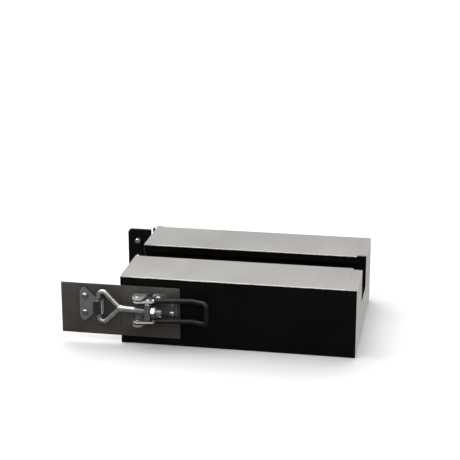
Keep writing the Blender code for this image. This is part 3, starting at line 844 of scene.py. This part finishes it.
def pad(latch, kind, screws):
    """A thin backing plate under the latch's base or its catch."""
    name = f"{kind}_pad"
    low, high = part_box(name)
    back = latch.hub.inverted()
    a, b = back @ low, back @ high
    if kind == "catch":
        b.x = -SEAM
    else:
        a.x = SEAM
    corners = [(a.x, a.z), (b.x, a.z), (b.x, b.z), (a.x, b.z)]
    holes = [circle(x, z, SCREW_RADIUS + GAP) for x, z in screws]
    loops = [rounded(corners, [PAD_CORNER] * 4, True), *holes]
    made = outline(loops, PAD_THICK, 0.0003)
    placed(made, (0, -GAP - PAD_THICK / 2, 0), UPRIGHT)
    return show(made, name, "bed", PAD, latch.hub)


def ear_outline(latch):
    """An ear from the side, tapering out from the bed to a round end about its rivet."""
    x, out = latch.hinge.x, -latch.hinge.y
    arc = []
    for k in range(3 * ARC + 1):
        turn = math.pi - EAR_SWEEP * k / (3 * ARC)
        arc.append((x + EAR_RADIUS * math.cos(turn), -out - EAR_RADIUS * math.sin(turn)))
    return [(x - EAR_RADIUS, 0), *arc, (EAR_RIGHT, 0)]


def latch_base(latch):
    """The folded base: two ears bent out of a plate with round lobes for its screws and a tongue."""
    top = -latch.hinge.y + 2 * EAR_RADIUS
    inner, outer = -BASE_OUT, -BASE_OUT - SHEET
    points = mirrored([(outer, BASE_HALF - SHEET), (-top, BASE_HALF - SHEET), (-top, BASE_HALF),
                       (inner, BASE_HALF)])
    radii = [BEND - SHEET, 0, 0, BEND, BEND, 0, 0, BEND - SHEET]
    made = outline([rounded(points, radii, True)], EAR_RIGHT - BASE_LEFT + 2 * SHEET)
    placed(made, ((EAR_RIGHT + BASE_LEFT) / 2, 0, 0), CROSSWISE)
    side = outline([ear_outline(latch)], 4 * BASE_HALF)
    combine(made, side, "INTERSECT")
    for way in (1, -1):
        bore = cylinder(RIVET_RADIUS + SEAM, -2 * SHEET, 2 * SHEET)
        placed(bore, (latch.hinge.x, latch.hinge.y, way * BASE_HALF))
        combine(made, bore, "DIFFERENCE")
    neck = BASE_HALF - 2 * SHEET
    half = [(BASE_LEFT + 2 * SHEET, neck), (LOBE_LEFT, neck), (LOBE_LEFT, BASE_HALF),
            (LOBE_RIGHT, BASE_HALF), (LOBE_RIGHT + 2 * SHEET, TONGUE_HALF),
            (BASE_RIGHT, TONGUE_HALF)]
    radii = [0, SHEET / 2, 2 * SHEET, 2 * SHEET, SHEET, 2 * SHEET]
    plate = outline([rounded(mirrored(half), radii + radii[::-1], True)], SHEET)
    placed(plate, (0, -BASE_OUT - SHEET / 2, 0), UPRIGHT)
    combine(made, plate, "UNION")
    drilled(made, latch.screws())
    soften(made, BASE_EDGE, 3)
    return show(made, "latch_base", "bed", BASE, latch.hub)


def rivet(latch, name, way):
    """A stub rivet with a round head outside the ear and a flatter one inside the cheek."""
    inner = CHEEK_OFFSET - SHEET / 2 - GAP
    outer = BASE_HALF + SEAM
    head = dome(RIVET_HEAD, RIVET_DOME, outer)
    tail = [(r, 2 * inner - h) for r, h in reversed(dome(RIVET_HEAD, RIVET_DOME, inner))]
    made = turned([*head, (RIVET_HEAD - 0.0001, outer), (RIVET_RADIUS, outer), (RIVET_RADIUS, inner),
                   (RIVET_HEAD - 0.0001, inner), *tail])
    placed(made, latch.hinge, None if way > 0 else TURNED_OVER)
    return show(made, name, "bed", STUB, latch.hub)


def screw(latch, name, x, z, turn):
    """A pan-head screw with a cross recess."""
    end = -SEAT - SCREW_DEPTH
    made = turned([*dome(SCREW_HEAD, SCREW_DOME, 0, 8, 0.3), (SCREW_HEAD - 0.0002, 0),
                   (SCREW_RADIUS, -0.0001), (SCREW_RADIUS, end + 0.0008),
                   (SCREW_RADIUS - 0.0008, end), (0, end)])
    for quarter in (0, math.pi / 2):
        top, low = SCREW_DOME + 0.0002, SCREW_DOME - RECESS_DEPTH
        rings = [[(a * w, b * RECESS_HALF, h) for a, b in ((-1, -1), (1, -1), (1, 1), (-1, 1))]
                 for w, h in ((RECESS_WIDE, top), (RECESS_NARROW, low))]
        slot = placed(skin(rings), turn=Matrix.Rotation(quarter, 4, "Z"))
        combine(made, slot, "DIFFERENCE")
    placed(made, (x, -SEAT + GAP - SEAM, z), UPRIGHT @ Matrix.Rotation(turn, 4, "Z"))
    return show(made, name, "bed", HEADS, latch.hub)


def catch(latch):
    """The catch: a plate screwed down, then folded out in front of the wire and back over it."""
    inner = BASE_OUT
    front = HOOK_BACK - SHEET
    lean = math.atan2(HOOK_TIP_OUT - HOOK_KNEE, front - HOOK_TIP_X)
    lift = SHEET / math.cos(lean)
    points = [(CATCH_LEFT, -inner), (HOOK_BACK, -inner), (HOOK_BACK, -HOOK_KNEE - SHEET / 2),
              (HOOK_TIP_X, -HOOK_TIP_OUT - lift), (HOOK_TIP_X, -HOOK_TIP_OUT), (front, -HOOK_KNEE),
              (front, -inner - SHEET), (CATCH_LEFT, -inner - SHEET)]
    radii = [0, BEND, SHEET * 1.2, SHEET / 2, 0, SHEET / 4, SHEET / 3, 0]
    made = outline([rounded(points, radii, True)], 4 * CATCH_HALF)
    half = [(CATCH_LEFT, CATCH_HALF - 2 * SHEET), (CATCH_LEFT + 2 * SHEET, CATCH_HALF),
            (CATCH_SCREW_X, CATCH_HALF), (CATCH_TAPER_X, HOOK_HALF + SHEET / 2), (0, HOOK_HALF)]
    radii = [SHEET / 2, SHEET / 2, SHEET, 2 * SHEET, 0]
    plan = outline([rounded(mirrored(half), radii + radii[::-1], True)], 4 * CATCH_HALF)
    combine(made, placed(plan, turn=UPRIGHT), "INTERSECT")
    drilled(made, latch.holds())
    soften(made, HOOK_EDGE, 3)
    return show(made, "catch", "bed", HOOK, latch.hub)


def handle_path(start, arc):
    """The handle's centre line, from one cheek round to the other, about the hinge."""
    half = [(start, 0, CHEEK_OFFSET), (ARM_LENGTH, 0, CHEEK_OFFSET),
            (ARM_REACH, -ARM_RISE, CHEEK_OFFSET)]
    radii = [0, 2 * ARM_CORNER, ARM_CORNER, ARM_CORNER, 2 * ARM_CORNER, 0]
    return rounded(mirrored(half), radii, False, arc)


def cheek_outline():
    """A cheek of the lever about its rivet, closed by a round end."""
    arc = []
    for k in range(3 * ARC + 1):
        turn = math.radians(90 + 180 * k / (3 * ARC))
        arc.append((CHEEK_HALF * math.cos(turn), CHEEK_HALF * math.sin(turn)))
    tail = CHEEK_HALF / 2
    points = [(CHEEK_LENGTH, -CHEEK_HALF), (CHEEK_LENGTH + tail, -tail),
              (CHEEK_LENGTH + tail, tail), (CHEEK_LENGTH, CHEEK_HALF)]
    radii = [0, 0.0015, 0.0012, 0.0012, 0.0015, 0]
    return arc + rounded([arc[-1], *points, arc[0]], radii, False)[1:-1]


def lever(latch):
    """The lever: two flat cheeks and one round bar bent into a loop."""
    path = handle_path(CHEEK_LENGTH + GAP, 10)
    tip = Vector((0.0006, 0, 0))
    ends = [path[0] - tip, *path, path[-1] - tip]
    radii = [CORE_RADIUS * 0.45, *[CORE_RADIUS] * len(path), CORE_RADIUS * 0.45]
    made = tube(ends, radii, 24)
    for way in (1, -1):
        loops = [cheek_outline(), circle(0, 0, RIVET_RADIUS + SEAM * 2),
                 circle(CRANK, 0, JOURNAL_RADIUS + SEAM * 2)]
        cheek = placed(outline(loops, SHEET, 0.00022), (0, 0, way * CHEEK_OFFSET))
        combine(made, cheek, "UNION")
    return show(made, "lever", "lever", LEVER, latch.lever)


def grip(latch):
    """The black sleeve over the handle, open at both ends, with round lips."""
    path = handle_path(GRIP_START, 14)
    lip = 0.0006
    forward = [path[0], path[0] + Vector((lip * 0.35, 0, 0)), path[0] + Vector((lip, 0, 0))]
    back = [path[-1] + Vector((lip, 0, 0)), path[-1] + Vector((lip * 0.35, 0, 0)), path[-1]]
    line = forward + path[1:-1] + back
    swell = []
    for n in range(len(line)):
        edge = min(n, len(line) - 1 - n)
        swell.append({0: GRIP_BORE + 0.0002, 1: GRIP_RADIUS - 0.00015}.get(edge, GRIP_RADIUS))
    stations = list(range(len(line))) + list(range(len(line) - 1, -1, -1))
    radii = swell + [GRIP_BORE] * len(line)
    made = tube(line, radii, 32, True, stations)
    return show(made, "grip", "lever", GRIP, latch.lever, 60)


def trunnion(latch):
    """The cross block between the cheeks, drilled for the threaded rod, with peened ends."""
    journal = CHEEK_OFFSET + SHEET / 2 + GAP
    head = journal + SHEET / 2
    neck = BLOCK_HALF / 2
    size = Vector((BLOCK_WIDTH, BLOCK_DEPTH, 2 * BLOCK_HALF)) / 2
    made = soften(block(-size, size), BLOCK_EDGE, 4)
    for way in (1, -1):
        wide = JOURNAL_RADIUS + 3 * GAP
        crown = dome(wide, head - journal, journal, 6, 0.1)
        end = turned([*crown, (JOURNAL_RADIUS, journal), (JOURNAL_RADIUS, neck), (0, neck)])
        placed(end, (0, 0, 0), None if way > 0 else TURNED_OVER)
        combine(made, end, "UNION")
    flare = THREAD_RADIUS + 0.0006
    deep = BLOCK_WIDTH / 2
    bore = turned([(0, 2 * deep), (flare + deep, 2 * deep), (flare, deep),
                   (THREAD_RADIUS + GAP, deep - FLARE), (THREAD_RADIUS + GAP, FLARE - deep),
                   (flare, -deep), (flare + deep, -2 * deep), (0, -2 * deep)])
    combine(made, placed(bore, turn=ALONG), "DIFFERENCE")
    return show(made, "trunnion", "trunnion", BLOCK, latch.bail)


def threaded_rod(start, shoulder, tip):
    """The stem from start to shoulder, and from there to tip its helical thread, along X."""
    sides = 36
    rings = []
    nose = [(0.0, 0.0), (0.45, 0.07), (0.75, 0.25), (0.93, 0.55), (1.0, 1.0)]
    for share, along in nose:
        rings.append((start + along * STEM_RADIUS, max(share, 0.02) * STEM_RADIUS, 0))
    rings.append((shoulder - (STEM_RADIUS - THREAD_RADIUS) - 0.0006, STEM_RADIUS, 0))
    rings.append((shoulder - 0.0002, THREAD_RADIUS, 0))
    step = THREAD_PITCH / 6
    count = round((tip - shoulder) / step)
    for n in range(count + 1):
        rings.append((shoulder + (tip - shoulder) * n / count, 0, 1))
    points = []
    for along, radius, threaded in rings:
        ring = []
        for k in range(sides):
            turn = 2 * math.pi * k / sides
            size = radius
            if threaded:
                phase = (along / THREAD_PITCH - k / sides) % 1
                ridge = min(1.0, max(0.0, 1.4 * (1 - abs(2 * phase - 1)) - 0.2))
                size = THREAD_ROOT + (THREAD_RADIUS - THREAD_ROOT) * ridge
                run_in = min(1.0, (along - shoulder) / THREAD_PITCH)
                size = THREAD_RADIUS + (size - THREAD_RADIUS) * run_in
                size = min(size, THREAD_RADIUS - THREAD_CHAMFER + (tip - along))
            ring.append((along, size * math.cos(turn), size * math.sin(turn)))
        points.append(ring)
    return skin(points)


def bail(latch):
    """The wire loop, with its legs run together into the stem of the threaded rod."""
    far = -BAIL_LENGTH
    meet = far + LOOP_LENGTH
    half = [(meet + STEM_RADIUS, 0, LEGS_APART), (meet - 0.0006, 0, LEGS_APART),
            (far + LOOP_STRAIGHT, 0, LOOP_HALF), (far, 0, LOOP_HALF)]
    radii = [0, LEG_CURVE, *[LOOP_CORNER] * 4, LEG_CURVE, 0]
    path = rounded(mirrored(half), radii, False, 12)
    made = tube(path, [WIRE_RADIUS] * len(path), 32)
    shoulder = meet + STEM_LENGTH
    stub = turned([(0, meet + 0.010), (STEM_RADIUS, meet + 0.010), (STEM_RADIUS, meet - 0.001),
                   (STEM_RADIUS * 0.8, meet - 0.0026), (0, meet - 0.0036)])
    combine(made, placed(stub, turn=ALONG), "UNION")
    step = made.modifiers.new("voxels", "REMESH")
    step.mode = "VOXEL"
    step.voxel_size = VOXEL
    step = made.modifiers.new("smooth", "SMOOTH")
    step.factor = 0.5
    step.iterations = 6
    bake(made)
    rod = threaded_rod(meet + 0.0015, shoulder, THREAD_BEYOND)
    combine(made, rod, "UNION")
    return show(made, "bail", "bail", WIRE, latch.bail, 50)


def nut(latch):
    """A chamfered hexagon nut with a washer face."""
    corner = NUT_FLATS / 2 / math.cos(math.pi / 6)
    half = NUT_THICK / 2
    turns = [math.pi / 3 * (k + 0.5) for k in range(6)]
    made = outline([[(corner * math.cos(a), corner * math.sin(a)) for a in turns]], NUT_THICK)
    wide = NUT_FLATS / 2 * 0.95
    drop = (corner - wide) * math.tan(math.radians(30)) * 1.6
    chamfer = turned([(0, half), (wide, half), (corner + 0.0001, half - drop),
                      (corner + 0.0001, drop - half), (wide, -half), (0, -half)], 64)
    combine(made, chamfer, "INTERSECT")
    size = THREAD_RADIUS + GAP
    bore = turned([(0, 2 * half), (size + half + FLARE, 2 * half), (size + FLARE, half),
                   (size, half - FLARE), (size, FLARE - half), (size + FLARE, -half),
                   (size + half + FLARE, -2 * half), (0, -2 * half)])
    combine(made, bore, "DIFFERENCE")
    soften(made, NUT_EDGE, 2, 50)
    away = BLOCK_WIDTH / 2 + GAP + half
    placed(made, (away, 0, 0), ALONG)
    return show(made, "adjusting_nut", "nut", HEADS, latch.bail)


def build_latch():
    """The latch and its catch."""
    latch = Latch()
    pad(latch, "latch", latch.screws())
    pad(latch, "catch", latch.holds())
    latch_base(latch)
    catch(latch)
    for n, (x, z) in enumerate(latch.screws(), 1):
        screw(latch, f"base_screw_{n}", x, z, 0.3 + 0.7 * n)
    for n, (x, z) in enumerate(latch.holds(), 1):
        screw(latch, f"catch_screw_{n}", x, z, 0.5 + 0.9 * n)
    rivet(latch, "upper_rivet", 1)
    rivet(latch, "lower_rivet", -1)
    lever(latch)
    grip(latch)
    trunnion(latch)
    bail(latch)
    nut(latch)


# ---- the hinge, in a frame of its own: X along the bed, Y out, Z along the pin ----

def knuckle_outline(side, stand):
    """A knuckle from above: a round barrel that runs out into the leaf."""
    face = LEAF_THICK - stand - SEAM / 2
    back = SEAM / 2 - stand
    start = math.asin(face / KNUCKLE_RADIUS)
    end = math.radians(262)
    steps = 6 * ARC
    arc = [start + (end - start) * k / steps for k in range(steps + 1)]
    barrel = [(KNUCKLE_RADIUS * math.cos(a), KNUCKLE_RADIUS * math.sin(a)) for a in arc]
    points = [(LEAF_NEAR + 2 * GAP, face), *barrel, (0.0, back), (LEAF_NEAR + 2 * GAP, back)]
    return [(side * x, y) for x, y in points]


def leaf(name, hub, side, knuckles, body):
    """A hinge leaf rolled into knuckles, with countersunk holes; side is 1 on the bed, else -1."""
    low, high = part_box(name)
    stand = hub.translation.y - low.y
    far = max(abs(low.x), abs(high.x))
    half = (high.z - low.z) / 2
    middle = LEAF_THICK / 2 - stand
    face = [(LEAF_NEAR, -half), (far, -half), (far, half), (LEAF_NEAR, half)]
    corners = rounded(face, [0.0008, LEAF_CORNER, LEAF_CORNER, 0.0008], True)
    shape = [(side * p.x, p.y) for p in corners]
    holes = [circle(side * LEAF_SCREW_X, z, LEAF_SCREW_RADIUS + 2 * SEAM) for z in LEAF_SCREWS]
    made = placed(outline([shape, *holes], LEAF_THICK, 0.0005), (0, middle, 0), UPRIGHT)
    rim = LEAF_SCREW_HEAD + 4 * SEAM
    for z in LEAF_SCREWS:
        narrow = LEAF_SCREW_RADIUS / 2
        sink = turned([(0, GAP), (rim + GAP, GAP), (narrow, narrow - rim), (0, narrow - rim)], 48)
        placed(sink, (side * LEAF_SCREW_X, LEAF_THICK - stand, z), OUTWARD)
        combine(made, sink, "DIFFERENCE")
    for start, end in knuckles:
        loops = [knuckle_outline(side, stand), circle(0, 0, HINGE_PIN_RADIUS + 2 * SEAM)]
        knuckle = outline(loops, end - start, 0.0004)
        combine(made, placed(knuckle, (0, 0, (start + end) / 2)), "UNION")
    return show(made, name, body, LEAF, hub)


def leaf_screw(name, hub, side, z, body, turn):
    """A countersunk screw with a hexagon socket."""
    stand = hub.translation.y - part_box("bed_leaf")[0].y
    cone = LEAF_SCREW_HEAD - LEAF_SCREW_RADIUS
    end = -LEAF_THICK - LEAF_SCREW_DEPTH
    top = -GAP / 2
    made = turned([(0, top), (LEAF_SCREW_HEAD - 0.0003, top), (LEAF_SCREW_HEAD, top - 0.0003),
                   (LEAF_SCREW_HEAD, top - 0.0005), (LEAF_SCREW_RADIUS, top - 0.0005 - cone),
                   (LEAF_SCREW_RADIUS, end + 0.0008), (LEAF_SCREW_RADIUS - 0.0008, end),
                   (0, end)], 48)
    rings = []
    turns = [turn + math.pi / 3 * k for k in range(6)]
    for size, height in ((SOCKET_CORNER + 0.0008, 0.0005), (SOCKET_CORNER, top - 0.0003),
                         (SOCKET_CORNER, -SOCKET_DEPTH), (0.0003, -SOCKET_POINT)):
        rings.append([(size * math.cos(a), size * math.sin(a), height) for a in turns])
    combine(made, skin(rings), "DIFFERENCE")
    placed(made, (side * LEAF_SCREW_X, LEAF_THICK - stand, z), OUTWARD)
    return show(made, name, body, HEADS, hub)


def hinge_pin(hub):
    """The pin, with a round head at each end."""
    low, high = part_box("hinge_pin")
    half = (high.z - low.z) / 2
    under = half - HINGE_PIN_CAP
    head = dome(HINGE_PIN_HEAD, HINGE_PIN_CAP, under, 8, 0.3)
    foot = [(r, -h) for r, h in reversed(head)]
    made = turned([*head, (HINGE_PIN_HEAD - 0.0003, under), (HINGE_PIN_RADIUS, under),
                   (HINGE_PIN_RADIUS, -under), (HINGE_PIN_HEAD - 0.0003, -under), *foot], 48)
    return show(made, "hinge_pin", "bed", HEADS, hub)


def build_hinge():
    """The hinge at the rear corner of the joint."""
    low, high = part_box("bed_leaf")
    half = (high.z - low.z) / 2
    hub = Matrix.Translation(JOINTS["leaf_swing"]["pos_m"])
    split = KNUCKLE_SPLIT + GAP
    leaf("bed_leaf", hub, 1, [(split, half), (-half, -split)], "bed")
    leaf("fixed_leaf", hub, -1, [(-KNUCKLE_SPLIT, KNUCKLE_SPLIT)], "fixed_leaf")
    hinge_pin(hub)
    for n, z in enumerate(LEAF_SCREWS, 1):
        leaf_screw(f"bed_leaf_screw_{n}", hub, 1, z, "bed", 0.4 * n)
        leaf_screw(f"fixed_leaf_screw_{n}", hub, -1, z, "fixed_leaf", 0.2 + 0.6 * n)


# ---- floor, lights and camera ----

def build_floor():
    """A plain pale floor under the bed."""
    low = CAD_LOW.z - FLOOR_DROP
    made = block((-FLOOR_HALF, -FLOOR_HALF, low - FLOOR_THICK), (FLOOR_HALF, FLOOR_HALF, low))
    made.name = "floor"
    look = Finish("floor_pale", Roughness=0.9, Specular_IOR_Level=0.1)
    look.set(Base_Color=look.mix(look.noise(3, 2), (0.82, 0.82, 0.82), (0.84, 0.84, 0.835)))
    made.data.materials.append(look.made)
    made.visible_glossy = False
    made.visible_shadow = False


def softbox(name, at, aim, size, radiance):
    """A white rectangular soft light of a given brightness."""
    light = bpy.data.lights.new(name, "AREA")
    light.shape = "RECTANGLE"
    light.size, light.size_y = size
    light.energy = radiance * math.pi * size[0] * size[1]
    made = bpy.data.objects.new(name, light)
    bpy.context.scene.collection.objects.link(made)
    made.location = at
    made.rotation_euler = (Vector(aim) - Vector(at)).to_track_quat("-Z", "Y").to_euler()


def build_world():
    """Dim surroundings that brighten towards the back, and a little towards the front."""
    world = bpy.data.worlds.new("studio")
    bpy.context.scene.world = world
    world.use_nodes = True
    tree = world.node_tree
    back = tree.nodes["Background"]
    back.inputs["Color"].default_value = (1, 1, 1, 1)
    place = tree.nodes.new("ShaderNodeTexCoord")
    split = tree.nodes.new("ShaderNodeSeparateXYZ")
    total = tree.nodes.new("ShaderNodeMath")
    tree.links.new(place.outputs["Generated"], split.inputs[0])
    for slot, numbers in enumerate(WORLD_RAMPS):
        ramp = tree.nodes.new("ShaderNodeMapRange")
        for key, number in zip(("From Min", "From Max", "To Min", "To Max"), numbers):
            ramp.inputs[key].default_value = number
        tree.links.new(split.outputs["Y"], ramp.inputs["Value"])
        tree.links.new(ramp.outputs["Result"], total.inputs[slot])
    tree.links.new(total.outputs[0], back.inputs["Strength"])


def build_lights():
    """Five soft lights: name, place, aim, size and brightness."""
    softbox("key", (-0.6, 0.3, 2.3), (0.1, 0, 0), (2.4, 2.4), 2.6)
    softbox("front", (0.1, -1.9, 1.9), (0, -0.1, 0), (4.8, 1.3), 2.4)
    softbox("backdrop", (0.3, 3.4, 2.6), (0.3, 3.4, 0), (6.0, 3.6), 2.2)
    softbox("left", (-2.5, -0.7, 1.7), (0, -0.1, 0), (1.8, 1.8), 2.0)
    softbox("side", (2.6, -0.2, 0.9), (0.1, 0, 0.1), (1.6, 1.4), 0.4)


def build_camera():
    """A long lens, front right and above."""
    lens = bpy.data.cameras.new("camera")
    lens.sensor_width = 36
    lens.lens = LENS_MM
    made = bpy.data.objects.new("camera", lens)
    bpy.context.scene.collection.objects.link(made)
    made.location = CAMERA_AT
    made.rotation_euler = (CAMERA_TILT, 0, CAMERA_TURN)
    bpy.context.scene.camera = made


build_bed()
build_latch()
build_hinge()
build_floor()
build_world()
build_lights()
build_camera()
bpy.context.scene.view_settings.view_transform = "Standard"
